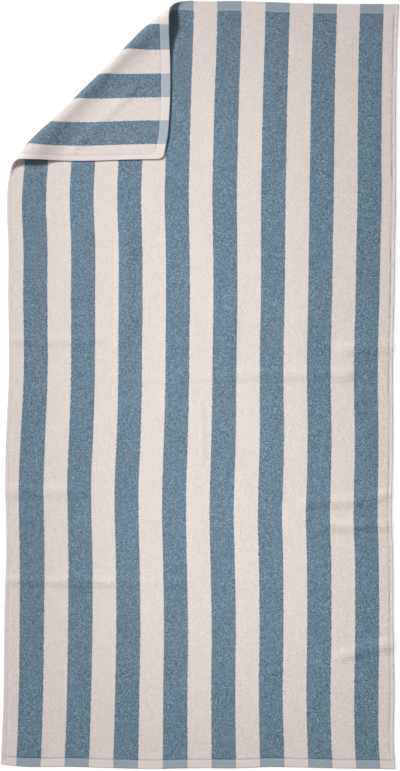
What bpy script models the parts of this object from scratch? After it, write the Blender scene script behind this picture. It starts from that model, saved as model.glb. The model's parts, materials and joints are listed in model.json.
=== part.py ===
"""Striped terry bath towel, spread out on a table with one corner folded over on to its front.

The towel is one piece of cloth. It is worked out in two steps. First it lies open as a rectangle,
with A across it and B along it, both from its middle. Then every point of that rectangle is placed:
its edges bow a little, faint creases lift it, and the corner at low A and high B is turned over.
"""

import math
from typing import NamedTuple

import bmesh
import bpy
import numpy as np
from mathutils import Vector

# The cut cloth, in metres.
WIDTH = 0.710
LENGTH = 1.400
PILE_THICKNESS = 0.0030
HEM_THICKNESS = 0.0020
END_HEM = 0.0170
SIDE_HEM = 0.009
HEM_STEP = 0.002

# Corners of the cloth are a little round, and the soft corner of the flap more than the rest.
CORNER_RADIUS = 0.002
FLAP_CORNER_RADIUS = 0.010

# The fold line crosses the corner at 45 degrees: y - x is FOLD_LINE all along it, and x + y is
# FOLD_MIDDLE at its middle.
FOLD_LINE = 0.7587
FOLD_MIDDLE = 0.354

# From the fold the flap slopes down to where it lies flat. The slope runs DROP_RUN times its fall,
# and with a DROP_SKEW below 1 it falls fastest at its start.
FLAP_GAP = 0.0008
FLAP_HEIGHT = 2 * PILE_THICKNESS + FLAP_GAP
DROP_RUN = 6.5
DROP_SKEW = 0.55

# Cloth that runs down an eased slope is longer than the slope's run by this share of its fall
# squared over its run.
EASED_EXTRA = 0.6

# The mesh: the widest cell on the flat cloth, where lines run along the fold, measured from it
# towards the corner, and where they run along a crease, as shares of its half width.
CELL = 0.032
CLOSEST_LINES = 0.005
CLOSEST_CUT = 0.0006
FOLD_ROWS = (-0.028, -0.023, -0.018, -0.014, -0.0105, -0.0075, -0.005, -0.0025, 0.0, 0.0025, 0.005,
             0.0075, 0.0105, 0.014, 0.018, 0.023, 0.028, 0.034, 0.042, 0.051, 0.060, 0.071, 0.082,
             0.093, 0.104, 0.118, 0.134)
CREASE_ROWS = (-1.0, -0.45, 0.0, 0.45, 1.0)

# How far apart points are read to find which way a face looks.
WAY_STEP = 0.0002
TOWEL_BLUE = (0.155, 0.232, 0.292, 1.0)


class Sides(NamedTuple):
    """How far the long edges and the middle line stand to the right of straight ones, along B."""

    along: float
    left: float
    middle: float
    right: float


class Ends(NamedTuple):
    """How far the two short edges stand above a straight edge, at one place along A."""

    across: float
    bottom: float
    top: float


class Turn(NamedTuple):
    """The cloth that goes round the fold at one place along it, and how far the fold bulges."""

    along: float
    length: float
    bulge: float


class Crease(NamedTuple):
    """A soft ridge from one point to another, with the height and half width of its middle."""

    x_from: float
    y_from: float
    x_to: float
    y_to: float
    height: float
    reach: float


SIDES = (
    Sides(-0.700, -0.0095, -0.0008, 0.0021),
    Sides(-0.650, -0.0070, -0.0010, -0.0012),
    Sides(-0.575, -0.0044, -0.0012, 0.0000),
    Sides(-0.440, -0.0029, -0.0004, -0.0016),
    Sides(-0.300, 0.0005, -0.0030, -0.0026),
    Sides(-0.240, 0.0001, -0.0042, -0.0045),
    Sides(-0.190, -0.0010, -0.0036, -0.0037),
    Sides(-0.090, 0.0005, -0.0006, -0.0021),
    Sides(0.000, 0.0049, 0.0012, -0.0027),
    Sides(0.060, 0.0058, 0.0018, -0.0025),
    Sides(0.160, 0.0042, 0.0030, 0.0001),
    Sides(0.250, 0.0048, 0.0024, 0.0011),
    Sides(0.340, 0.0022, 0.0010, 0.0029),
    Sides(0.430, 0.0090, 0.0026, 0.0027),
    Sides(0.540, 0.0059, 0.0056, 0.0033),
    Sides(0.640, 0.0085, 0.0092, 0.0056),
    Sides(0.700, 0.0095, 0.0102, 0.0085),
)
ENDS = (
    Ends(-0.355, 0.0078, -0.0075),
    Ends(-0.334, 0.0052, -0.0040),
    Ends(-0.318, 0.0037, -0.0005),
    Ends(-0.300, 0.0031, 0.0018),
    Ends(-0.284, 0.0029, 0.0026),
    Ends(-0.240, 0.0034, 0.0049),
    Ends(-0.165, 0.0013, 0.0048),
    Ends(-0.072, -0.0008, 0.0015),
    Ends(-0.052, 0.0000, 0.0040),
    Ends(-0.034, 0.0004, 0.0039),
    Ends(-0.018, 0.0008, 0.0027),
    Ends(0.000, 0.0011, 0.0023),
    Ends(0.056, 0.0004, 0.0027),
    Ends(0.128, 0.0030, 0.0004),
    Ends(0.185, 0.0020, -0.0016),
    Ends(0.256, 0.0004, -0.0024),
    Ends(0.355, -0.0006, -0.0027),
)
TURNS = (
    Turn(-0.230, 0.054, -0.0022),
    Turn(-0.204, 0.051, -0.0006),
    Turn(-0.178, 0.045, 0.0023),
    Turn(-0.150, 0.038, 0.0037),
    Turn(-0.100, 0.029, 0.0009),
    Turn(-0.021, 0.0255, -0.0002),
    Turn(0.045, 0.0245, -0.0011),
    Turn(0.107, 0.0265, 0.0004),
    Turn(0.132, 0.030, 0.0012),
    Turn(0.160, 0.037, 0.0000),
    Turn(0.188, 0.046, -0.0015),
    Turn(0.206, 0.050, -0.0028),
    Turn(0.230, 0.054, -0.0035),
)
CREASES = (
    Crease(-0.370, 0.080, -0.170, 0.081, 0.0014, 0.014),
    Crease(0.235, 0.063, 0.385, 0.073, 0.0021, 0.018),
    Crease(-0.180, 0.009, 0.060, 0.015, 0.0008, 0.014),
    Crease(0.020, 0.018, 0.300, 0.019, 0.0019, 0.017),
    Crease(-0.375, -0.193, -0.190, -0.197, 0.0018, 0.018),
    Crease(0.170, -0.217, 0.320, -0.210, 0.0021, 0.015),
    Crease(0.290, -0.213, 0.385, -0.188, 0.0017, 0.015),
    Crease(0.200, -0.258, 0.375, -0.256, 0.0020, 0.015),
    Crease(-0.370, -0.357, -0.130, -0.361, 0.0018, 0.013),
    Crease(-0.190, -0.360, -0.020, -0.364, 0.0008, 0.013),
    Crease(0.235, -0.500, 0.375, -0.466, 0.0022, 0.017),
    Crease(0.105, -0.530, 0.160, -0.520, 0.0010, 0.008),
    Crease(-0.131, 0.340, -0.135, 0.060, 0.0011, 0.024),
    Crease(0.062, 0.190, 0.056, 0.020, 0.0009, 0.022),
    Crease(0.003, -0.020, 0.007, -0.155, 0.0006, 0.009),
    Crease(-0.345, 0.512, -0.205, 0.652, 0.0014, 0.014),
    Crease(-0.195, 0.700, -0.060, 0.700, 0.0028, 0.036),
    Crease(-0.355, 0.405, -0.355, 0.485, 0.0028, 0.020),
)

# The fold's own profile is drawn in this many steps, and is then scaled to each turn.
PROFILE_STEPS = 400


def ease(share):
    """Smooth rise from 0 to 1, flat at both ends."""
    share = np.clip(share, 0.0, 1.0)
    return share * share * (3.0 - 2.0 * share)


def turn_profile():
    """Out and up of a turn of half a circle, made of one metre of cloth, at even steps of it.

    The bend starts and ends gently. Out is measured from where the cloth leaves the table.
    """
    middles = (np.arange(PROFILE_STEPS) + 0.5) / PROFILE_STEPS
    angles = math.pi * ease(middles)
    out = np.concatenate(([0.0], np.cumsum(np.cos(angles)))) / PROFILE_STEPS
    up = np.concatenate(([0.0], np.cumsum(np.sin(angles)))) / PROFILE_STEPS
    return np.linspace(0.0, 1.0, PROFILE_STEPS + 1), out, up


SHARES, TURN_OUT, TURN_UP = turn_profile()


def read_table(rows, column, places):
    """A column of a table read as a smooth curve over its first column."""
    at = np.array([row[0] for row in rows])
    values = np.array([getattr(row, column) for row in rows])
    slopes = np.gradient(values, at)
    places = np.clip(places, at[0], at[-1])
    row = np.clip(np.searchsorted(at, places) - 1, 0, len(at) - 2)
    span = at[row + 1] - at[row]
    share = (places - at[row]) / span
    start_pull = share * (1.0 - share) ** 2 * span * slopes[row]
    end_pull = share ** 2 * (1.0 - share) * span * slopes[row + 1]
    return values[row] + (values[row + 1] - values[row]) * ease(share) + start_pull - end_pull


def round_corners(a, b):
    """Draws the cloth's square corners in to round ones."""
    is_flap = (a < 0.0) & (b > 0.0)
    radius = np.where(is_flap, FLAP_CORNER_RADIUS, CORNER_RADIUS)
    past_a = np.maximum(np.abs(a) - (WIDTH / 2 - radius), 0.0)
    past_b = np.maximum(np.abs(b) - (LENGTH / 2 - radius), 0.0)
    drawn_a = past_a * np.sqrt(1.0 - (past_b / radius) ** 2 / 2)
    drawn_b = past_b * np.sqrt(1.0 - (past_a / radius) ** 2 / 2)
    return a - np.sign(a) * (past_a - drawn_a), b - np.sign(b) * (past_b - drawn_b)


def spread(a, b):
    """X and Y of the open cloth, with its edges as straight as hands lay them."""
    a, b = round_corners(a, b)
    rightward = a / WIDTH + 0.5
    upward = b / LENGTH + 0.5
    left = read_table(SIDES, "left", b) * (1.0 - rightward) * (1.0 - 2.0 * rightward)
    middle = read_table(SIDES, "middle", b) * 4.0 * rightward * (1.0 - rightward)
    right = read_table(SIDES, "right", b) * rightward * (2.0 * rightward - 1.0)
    bottom = read_table(ENDS, "bottom", a)
    top = read_table(ENDS, "top", a)
    x = a + left + middle + right
    y = b + bottom * (1.0 - upward) + top * upward
    return x, y


def crease_height(x, y):
    """Height of the faint creases above the table."""
    height = np.zeros_like(x)
    for crease in CREASES:
        run_x, run_y = crease.x_to - crease.x_from, crease.y_to - crease.y_from
        length = math.hypot(run_x, run_y)
        along = ((x - crease.x_from) * run_x + (y - crease.y_from) * run_y) / length
        aside = ((y - crease.y_from) * run_x - (x - crease.x_from) * run_y) / length
        end = np.minimum(along, length - along) / (2 * crease.reach)
        ridge = np.clip(1.0 - (aside / crease.reach) ** 2, 0.0, 1.0) ** 2
        height = np.maximum(height, crease.height * ridge * ease(end))
    return height


def turn_over(past, along):
    """Where the cloth lies that was `past` the fold line: distance past it now, and height."""
    length = read_table(TURNS, "length", along)
    bulge = read_table(TURNS, "bulge", along)
    share = np.clip(past / length + 0.5, 0.0, 1.0)
    out = length * np.interp(share, SHARES, TURN_OUT) - length / 2
    out += bulge * 4 * share * (1 - share)
    up = length * np.interp(share, SHARES, TURN_UP)
    beyond = np.maximum(past - length / 2, 0.0)
    fall = length * TURN_UP[-1] - FLAP_HEIGHT
    down = np.minimum(beyond / (DROP_RUN * fall), 1.0)
    settled = ease(down / (DROP_SKEW + (1.0 - DROP_SKEW) * down))
    drawn_in = EASED_EXTRA * fall / DROP_RUN * settled
    now = np.where(past < -length / 2, past, out - beyond + drawn_in)
    return now, up - fall * settled


def back_face(a, b):
    """Places of points on the cloth's back, which lies on the table outside the flap."""
    x, y = spread(a, b)
    past = (y - x - FOLD_LINE) / math.sqrt(2)
    along = (x + y - FOLD_MIDDLE) / math.sqrt(2)
    now, height = turn_over(past, along)
    shift = (now - past) / math.sqrt(2)
    return np.stack((x - shift, y + shift, height + crease_height(x, y)), axis=-1)


def front_ways(a, b):
    """Unit vectors out of the back through to the front, read a little inside the edges."""
    inset = 3 * WAY_STEP
    a = np.clip(a, inset - WIDTH / 2, WIDTH / 2 - inset)
    b = np.clip(b, inset - LENGTH / 2, LENGTH / 2 - inset)
    across = back_face(a + WAY_STEP, b) - back_face(a - WAY_STEP, b)
    along = back_face(a, b + WAY_STEP) - back_face(a, b - WAY_STEP)
    way = np.cross(across, along)
    return way / np.linalg.norm(way, axis=-1, keepdims=True)


def thickness(b):
    """Full over the pile and thinner over the flat end hems, with a short step between them."""
    from_end = LENGTH / 2 - np.abs(b)
    step = ease((from_end - END_HEM) / HEM_STEP + 0.5)
    return HEM_THICKNESS + (PILE_THICKNESS - HEM_THICKNESS) * step


def grid_lines(half, hem, extra):
    """Places of the grid's lines across one way of the cloth, even but for the hems and creases."""
    fixed = [half - hem - HEM_STEP / 2, half - hem + HEM_STEP / 2, half]
    places = sorted({-place for place in fixed} | set(fixed) | set(extra))
    lines = [places[0]]
    for place in places[1:]:
        gap = place - lines[-1]
        parts = max(1, math.ceil(gap / CELL))
        start = lines[-1]
        lines += [start + gap * part / parts for part in range(1, parts + 1)]
    return lines


def crease_lines(crosswise):
    """Extra grid lines that follow the creases which run across the cloth, or those along it."""
    wanted = []
    for crease in CREASES:
        run_x, run_y = abs(crease.x_to - crease.x_from), abs(crease.y_to - crease.y_from)
        middle_x, middle_y = (crease.x_from + crease.x_to) / 2, (crease.y_from + crease.y_to) / 2
        if crosswise and run_x > 2 * run_y:
            wanted += [middle_y + share * crease.reach for share in CREASE_ROWS]
        elif not crosswise and run_y > 2 * run_x:
            wanted += [middle_x + share * crease.reach for share in CREASE_ROWS]
    inner = LENGTH / 2 - END_HEM if crosswise else WIDTH / 2 - SIDE_HEM
    kept = []
    for place in sorted(wanted):
        inside = abs(place) < inner - CLOSEST_LINES
        if inside and (not kept or place - kept[-1] > CLOSEST_LINES):
            kept.append(place)
    return kept


def open_cloth():
    """The open rectangle as a flat mesh, cut along the fold."""
    mesh = bmesh.new()
    columns = grid_lines(WIDTH / 2, SIDE_HEM, crease_lines(crosswise=False))
    rows = grid_lines(LENGTH / 2, END_HEM, crease_lines(crosswise=True))
    verts = [[mesh.verts.new((a, b, 0.0)) for a in columns] for b in rows]
    for lower, upper in zip(verts, verts[1:]):
        for k in range(len(columns) - 1):
            mesh.faces.new((lower[k], lower[k + 1], upper[k + 1], upper[k]))
    outward = Vector((-1.0, 1.0, 0.0)).normalized()
    for row in FOLD_ROWS:
        place = Vector((0.0, FOLD_LINE, 0.0)) + outward * row
        bmesh.ops.bisect_plane(mesh, geom=mesh.verts[:] + mesh.edges[:] + mesh.faces[:],
                               dist=CLOSEST_CUT, plane_co=place, plane_no=outward)
    bmesh.ops.triangulate(mesh, faces=mesh.faces)
    return mesh


def build_towel():
    """The towel as one closed solid: its back, its front and the rim between them."""
    flat = open_cloth()
    flat.verts.index_update()
    places = np.array([vert.co[:2] for vert in flat.verts])
    a, b = places[:, 0], places[:, 1]
    back = back_face(a, b)
    front = back + front_ways(a, b) * thickness(b)[:, None]

    solid = bmesh.new()
    back_verts = [solid.verts.new(point) for point in back]
    front_verts = [solid.verts.new(point) for point in front]
    for face in flat.faces:
        corners = [vert.index for vert in face.verts]
        solid.faces.new([front_verts[k] for k in corners])
        solid.faces.new([back_verts[k] for k in reversed(corners)])
    for edge in flat.edges:
        if edge.is_boundary:
            loop = edge.link_loops[0]
            start, end = loop.vert.index, loop.link_loop_next.vert.index
            solid.faces.new((back_verts[start], back_verts[end], front_verts[end],
                             front_verts[start]))
    flat.free()
    bmesh.ops.triangulate(solid, faces=[face for face in solid.faces if len(face.verts) > 3])

    mesh = bpy.data.meshes.new("towel")
    solid.to_mesh(mesh)
    solid.free()
    mesh.shade_smooth()
    mesh.set_sharp_from_angle(angle=math.radians(40))
    towel = bpy.data.objects.new("towel", mesh)
    bpy.context.scene.collection.objects.link(towel)
    return towel


def terry_cloth():
    """Cotton terry in the colour of the towel's stripes."""
    material = bpy.data.materials.new("cotton_terry")
    material.use_nodes = True
    shader = material.node_tree.nodes["Principled BSDF"]
    shader.inputs["Base Color"].default_value = TOWEL_BLUE
    shader.inputs["Roughness"].default_value = 0.95
    shader.inputs["Metallic"].default_value = 0.0
    return material


for leftover in list(bpy.data.objects):
    bpy.data.objects.remove(leftover, do_unlink=True)
bath_towel = build_towel()
bath_towel.data.materials.append(terry_cloth())
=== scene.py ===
"""The looks of a striped terry bath towel that lies flat, with a top corner folded over on its front.

The cloth is worked out open, with A across it and B along it from its middle. Every point of it is
then placed where it lies, and the pile's loops and the hems' stitches are set on it there.
"""

import json
import math
from typing import NamedTuple

import bmesh
import bpy
import numpy as np
from bpy.props import FloatProperty, FloatVectorProperty, IntProperty, PointerProperty
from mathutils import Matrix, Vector

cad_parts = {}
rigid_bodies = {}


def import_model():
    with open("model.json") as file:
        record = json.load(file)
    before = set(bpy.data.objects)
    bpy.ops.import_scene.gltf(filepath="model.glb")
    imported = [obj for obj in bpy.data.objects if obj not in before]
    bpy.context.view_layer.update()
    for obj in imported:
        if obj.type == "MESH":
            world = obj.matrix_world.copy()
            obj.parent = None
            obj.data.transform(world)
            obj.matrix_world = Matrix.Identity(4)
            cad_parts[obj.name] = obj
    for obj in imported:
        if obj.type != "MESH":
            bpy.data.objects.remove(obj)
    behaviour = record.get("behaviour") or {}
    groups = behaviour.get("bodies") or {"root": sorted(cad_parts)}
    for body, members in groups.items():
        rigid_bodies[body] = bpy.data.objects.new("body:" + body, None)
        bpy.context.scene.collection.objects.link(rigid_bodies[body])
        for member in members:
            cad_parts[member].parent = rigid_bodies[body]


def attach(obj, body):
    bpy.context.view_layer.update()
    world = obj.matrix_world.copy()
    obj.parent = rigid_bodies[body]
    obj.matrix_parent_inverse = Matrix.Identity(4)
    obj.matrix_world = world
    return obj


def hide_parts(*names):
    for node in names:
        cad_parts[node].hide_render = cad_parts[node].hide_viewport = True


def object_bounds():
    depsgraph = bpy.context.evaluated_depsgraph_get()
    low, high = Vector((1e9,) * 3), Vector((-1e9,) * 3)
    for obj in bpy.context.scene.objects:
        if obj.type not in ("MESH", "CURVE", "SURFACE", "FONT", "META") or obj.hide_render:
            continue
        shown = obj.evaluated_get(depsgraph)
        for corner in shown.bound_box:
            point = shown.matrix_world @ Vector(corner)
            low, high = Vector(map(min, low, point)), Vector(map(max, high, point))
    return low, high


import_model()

bl_info = {
    "name": "Striped Terry Bath Towel",
    "version": (1, 0, 0),
    "blender": (4, 5, 0),
    "location": "View3D > Sidebar > Bath Towel",
    "description": "A striped cotton bath towel lying flat with one corner folded over",
    "category": "Add Mesh",
}

SOLID_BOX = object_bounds()
TOWEL_NODE = "towel"
TOWEL_BODY = "root"

# The cloth's two faces, and the attributes that the materials and the node trees read: a place's
# A and B and how far it lies inside the hems, its face, the way out of it, and a loop's shade.
FRONT = 0.0
BACK = 1.0
PLACE = "cloth_place"
REVERSE = "reverse"
OUTWARD = "outward"
SHADE = "shade"

SHADES = 3
WHITE = (1.0, 1.0, 1.0, 1.0)
BLACK = (0.0, 0.0, 0.0, 1.0)

# Where a hem's swell is thickest and how far it reaches, in times the round of the hem's edge.
SWELL_MIDDLE = 2.4
SWELL_REACH = 2.0

# Lines of the cloth's mesh along each edge, in times the round of the hem's edge, and along each
# row of stitches, in times the reach of the stitches' pull.
EDGE_LINES = (0.0, 0.1, 0.35, 1.0, 2.2, 3.6, 5.5)
SEAM_LINES = (-1.2, -0.5, 0.0, 0.5, 1.2, 2.2)

# Lines of the mesh along the fold, by their distance past it, and how near a point is on one.
FOLD_LINES = np.arange(-0.026, 0.0261, 0.002)
ON_LINE = 0.0002

# The fold's own profile is drawn in this many steps, and is then scaled to each turn.
PROFILE_STEPS = 400

# Cloth that the flap's smooth slope takes up, in times its fall and its steepness.
SLOPE_TAKES = 0.6

# Width of the margins beside the outer stripes, and the cloth over which the shift of each
# margin dies out past it.
MARGIN = 0.028
LEFT_FADE = 0.065
RIGHT_FADE = 0.160

# Where the flap's stripes are drawn aside: over a run past the fold line, and over a run from
# the side hem's seam.
FLAP_START = 0.05
FLAP_SEAM = 0.01
FLAP_RUN = 0.16

# Height of the faint waves of the cloth.
BROAD_WAVE = 0.0007
NARROW_WAVE = 0.0002

# The furrow that the right hem's stitches draw through the front's pile: how far outside them it
# runs, over what distance it starts at the end hems and grows from the near end, and the least
# and the spread of its uneven depth.
FURROW_OFFSET = 0.0005
FURROW_START = 0.006
FURROW_GROWTH = 0.35
FURROW_LEAST = 0.3
FURROW_SPREAD = 2.2

# Random values that soft patches are drawn from, across and along, and the cloth's middle there.
PATCH_KNOTS = (256, 512)
PATCH_MIDDLE = (100.0, 200.0)

# Loops stay this far off the hems and stray this far from their rows, in times their pitch.
LOOP_ROOM = 0.4
LOOP_STRAY = 0.2

# Smallest and largest loop, in times the usual size.
LOOP_SIZES = (0.75, 1.3)

# Thickness of a stitch, in times its width.
STITCH_FLATNESS = 0.8

# Where loops can be seen: on the front up to a distance past the fold line, on the back from a
# distance before it, and under the flap only by its edges and by the fold's ends.
FRONT_PAST = 0.030
BACK_BEFORE = 0.014
FLAP_RIM = 0.014
FOLD_ENDS = 0.150

# What makes a loop's shade: streaks and specks of the yarn, then broad areas that differ, and
# then areas where the shades are calmer or livelier.
STREAK_SHARE = 0.7
SPECK_SHARE = 0.3
YARN_SHARE = 0.88
AREA_SHARE = 0.12
CALMEST = 0.25
LIVELIER = 1.5

# The material's fine patterns and how strong they are: the stripes' uneven edges, the shade
# painted into the hollows between the loops, the hems' threads, and the relief of weave and
# terry. A noise's number is how many patches it has in a metre, and so is that of the grains.
EDGE_NOISE = 260.0
EDGE_WANDER = 0.001
GROUND_NOISE = 330.0
# Painted shade: the shares of each yarn's colour that the ground between the loops is darkened to.
LIGHT_HOLLOW_SHADE = 0.84
DARK_HOLLOW_SHADE = 0.55
THREAD_NOISE = 150.0
THREAD_SHADE = 0.13
WEAVE_PITCH = 0.0009
WEAVE_DEPTH = 0.22
GRAINS = 520.0


class Sides(NamedTuple):
    """How far lines along the cloth stand to the right of straight ones, at one place along B.

    The lines are both edges and the middle. The inner lines of the margins and the lines a
    quarter of the way in have only the rest of their shift here.
    """

    along: float
    left: float
    left_margin: float
    left_quarter: float
    middle: float
    right_quarter: float
    right_margin: float
    right: float


class Ends(NamedTuple):
    """How far the two short edges stand above a straight edge, at one place along A."""

    across: float
    bottom: float
    top: float


class Turn(NamedTuple):
    """The cloth that goes round the fold at one place along it, and how far the fold bulges."""

    along: float
    length: float
    bulge: float


class Crease(NamedTuple):
    """A soft ridge from one point to another, with the height and half width of its middle."""

    x_from: float
    y_from: float
    x_to: float
    y_to: float
    height: float
    reach: float


class Patches(NamedTuple):
    """Soft random patches: about how wide and long they are, and the seed they are drawn with."""

    across: float
    along: float
    seed: int


SIDES = (
    Sides(-0.700, -0.0095, 0.0000, -0.0022, -0.0008, 0.0004, 0.0000, 0.0021),
    Sides(-0.650, -0.0070, 0.0000, -0.0018, -0.0010, 0.0004, 0.0000, -0.0012),
    Sides(-0.575, -0.0044, 0.0000, -0.0004, -0.0012, -0.0012, -0.0010, 0.0000),
    Sides(-0.440, -0.0029, 0.0000, 0.0008, -0.0004, 0.0003, 0.0014, -0.0016),
    Sides(-0.300, 0.0005, -0.0026, 0.0006, -0.0030, 0.0021, 0.0018, -0.0026),
    Sides(-0.240, 0.0001, -0.0032, -0.0002, -0.0042, 0.0020, 0.0019, -0.0045),
    Sides(-0.190, -0.0010, -0.0027, -0.0006, -0.0036, 0.0027, 0.0015, -0.0037),
    Sides(-0.090, 0.0005, -0.0008, 0.0010, -0.0006, 0.0020, 0.0006, -0.0021),
    Sides(0.000, 0.0049, 0.0000, 0.0003, 0.0012, 0.0003, 0.0000, -0.0027),
    Sides(0.060, 0.0058, 0.0000, 0.0000, 0.0018, 0.0000, 0.0000, -0.0025),
    Sides(0.160, 0.0042, 0.0000, 0.0004, 0.0030, 0.0000, 0.0000, 0.0001),
    Sides(0.250, 0.0048, 0.0000, 0.0008, 0.0024, 0.0011, 0.0010, 0.0011),
    Sides(0.340, 0.0022, 0.0000, 0.0004, 0.0010, 0.0021, 0.0018, 0.0029),
    Sides(0.430, 0.0090, 0.0000, 0.0000, 0.0026, 0.0033, 0.0016, 0.0027),
    Sides(0.540, 0.0059, 0.0000, 0.0000, 0.0056, 0.0023, 0.0011, 0.0033),
    Sides(0.640, 0.0085, 0.0000, 0.0000, 0.0092, 0.0018, 0.0004, 0.0056),
    Sides(0.700, 0.0095, 0.0000, 0.0000, 0.0102, 0.0018, 0.0000, 0.0085),
)
ENDS = (
    Ends(-0.355, 0.0078, -0.0075),
    Ends(-0.334, 0.0052, -0.0040),
    Ends(-0.318, 0.0037, -0.0005),
    Ends(-0.300, 0.0031, 0.0018),
    Ends(-0.284, 0.0029, 0.0026),
    Ends(-0.240, 0.0034, 0.0049),
    Ends(-0.165, 0.0013, 0.0048),
    Ends(-0.100, -0.0004, 0.0022),
    Ends(-0.074, -0.0008, 0.0016),
    Ends(-0.052, 0.0000, 0.0040),
    Ends(-0.034, 0.0004, 0.0039),
    Ends(-0.018, 0.0008, 0.0027),
    Ends(0.000, 0.0011, 0.0023),
    Ends(0.056, 0.0004, 0.0027),
    Ends(0.128, 0.0030, 0.0004),
    Ends(0.185, 0.0020, -0.0016),
    Ends(0.256, 0.0004, -0.0024),
    Ends(0.355, -0.0006, -0.0027),
)
TURNS = (
    Turn(-0.230, 0.054, -0.0022),
    Turn(-0.204, 0.051, -0.0006),
    Turn(-0.178, 0.045, 0.0023),
    Turn(-0.150, 0.038, 0.0037),
    Turn(-0.100, 0.029, 0.0009),
    Turn(-0.021, 0.0255, -0.0002),
    Turn(0.045, 0.0245, -0.0011),
    Turn(0.107, 0.0265, 0.0004),
    Turn(0.132, 0.030, 0.0012),
    Turn(0.160, 0.037, 0.0000),
    Turn(0.188, 0.046, -0.0015),
    Turn(0.206, 0.050, -0.0028),
    Turn(0.230, 0.054, -0.0035),
)
CREASES = (
    Crease(-0.370, 0.080, -0.170, 0.081, 0.0014, 0.014),
    Crease(0.235, 0.063, 0.385, 0.073, 0.0021, 0.018),
    Crease(-0.180, 0.009, 0.060, 0.015, 0.0008, 0.014),
    Crease(0.020, 0.018, 0.300, 0.019, 0.0019, 0.017),
    Crease(-0.375, -0.193, -0.190, -0.197, 0.0018, 0.018),
    Crease(0.170, -0.217, 0.320, -0.210, 0.0021, 0.015),
    Crease(0.290, -0.213, 0.385, -0.188, 0.0017, 0.015),
    Crease(0.200, -0.258, 0.375, -0.256, 0.0020, 0.015),
    Crease(-0.370, -0.357, -0.130, -0.361, 0.0018, 0.013),
    Crease(-0.190, -0.360, -0.020, -0.364, 0.0008, 0.013),
    Crease(0.235, -0.500, 0.375, -0.466, 0.0022, 0.017),
    Crease(0.105, -0.530, 0.160, -0.520, 0.0010, 0.008),
    Crease(-0.131, 0.340, -0.135, 0.060, 0.0011, 0.024),
    Crease(0.062, 0.190, 0.056, 0.020, 0.0009, 0.022),
    Crease(0.003, -0.020, 0.007, -0.155, 0.0006, 0.009),
    Crease(-0.345, 0.512, -0.205, 0.652, 0.0014, 0.014),
    Crease(-0.195, 0.700, -0.060, 0.700, 0.0028, 0.036),
    Crease(-0.355, 0.405, -0.355, 0.485, 0.0028, 0.020),
)
BROAD_WAVES = Patches(0.085, 0.110, 3)
NARROW_WAVES = Patches(0.030, 0.042, 4)
FURROW_SPOTS = Patches(0.004, 0.007, 5)
FURROW_STRETCHES = Patches(0.1, 0.08, 6)
YARN_STREAKS = Patches(0.0022, 0.0180, 12)
SHADED_AREAS = Patches(0.03, 0.05, 13)
LIVELY_AREAS = Patches(0.020, 0.035, 14)


class ClothSizes(bpy.types.PropertyGroup):
    """Cut, thickness and hems of the cloth."""

    width: FloatProperty(
        name="Width", description="Width of the open cloth", default=0.710, unit="LENGTH"
    )
    length: FloatProperty(
        name="Length", description="Length of the open cloth", default=1.400, unit="LENGTH"
    )
    thickness: FloatProperty(
        name="Thickness", description="Thickness of the ground weave that carries the pile",
        default=0.0026, unit="LENGTH"
    )
    hem_thickness: FloatProperty(
        name="Hem Thickness", description="Thickness of the flat-woven hems",
        default=0.0020, unit="LENGTH"
    )
    top_hem: FloatProperty(
        name="Top Hem", description="Width of the hem at the far end, by the fold",
        default=0.0176, unit="LENGTH"
    )
    bottom_hem: FloatProperty(
        name="Bottom Hem", description="Width of the hem at the near end",
        default=0.0162, unit="LENGTH"
    )
    left_hem: FloatProperty(
        name="Left Hem", description="Width of the hem along the left side",
        default=0.0100, unit="LENGTH"
    )
    right_hem: FloatProperty(
        name="Right Hem", description="Width of the hem along the right side",
        default=0.0080, unit="LENGTH"
    )
    hem_swell: FloatProperty(
        name="Hem Swell", description="How much the hems swell along their folded edge",
        default=0.0003, unit="LENGTH"
    )
    hem_step: FloatProperty(
        name="Hem Step", description="Run over which the pile thins to the hem",
        default=0.0016, unit="LENGTH"
    )
    edge_round: FloatProperty(
        name="Edge Round", description="Radius of the hems' folded edge",
        default=0.0009, unit="LENGTH"
    )
    corner_radius: FloatProperty(
        name="Corner Radius", description="Radius of the three corners that lie flat",
        default=0.002, unit="LENGTH"
    )
    flap_corner_radius: FloatProperty(
        name="Flap Corner Radius", description="Radius of the corner that is folded over",
        default=0.010, unit="LENGTH"
    )
    seam_radius: FloatProperty(
        name="Seam Radius", description="Radius that the hem's seam turns at the folded corner",
        default=0.009, unit="LENGTH"
    )
    cell: FloatProperty(
        name="Cell", description="Widest cell of the cloth's mesh", default=0.0062, unit="LENGTH"
    )


class FoldSizes(bpy.types.PropertyGroup):
    """Place of the corner's fold and how the flap lies."""

    line: FloatProperty(
        name="Fold Line", description="Y less X of every point on the fold line",
        default=0.7587, unit="LENGTH"
    )
    middle: FloatProperty(
        name="Fold Middle", description="X plus Y at the middle of the fold line",
        default=0.354, unit="LENGTH"
    )
    flap_shift: FloatProperty(
        name="Flap Shift", description="How far the flap's stripes are drawn towards its edge",
        default=0.0034, unit="LENGTH"
    )
    rest_height: FloatProperty(
        name="Flap Height", description="Height of the flap's upper face where it lies flat",
        default=0.0068, unit="LENGTH"
    )
    drop_run: FloatProperty(
        name="Drop Run", description="Run of the slope down from the fold, in times its fall",
        default=6.5
    )
    drop_skew: FloatProperty(
        name="Drop Skew", description="Less than one where the slope falls fastest at its start",
        default=0.55, subtype="FACTOR"
    )


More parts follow.
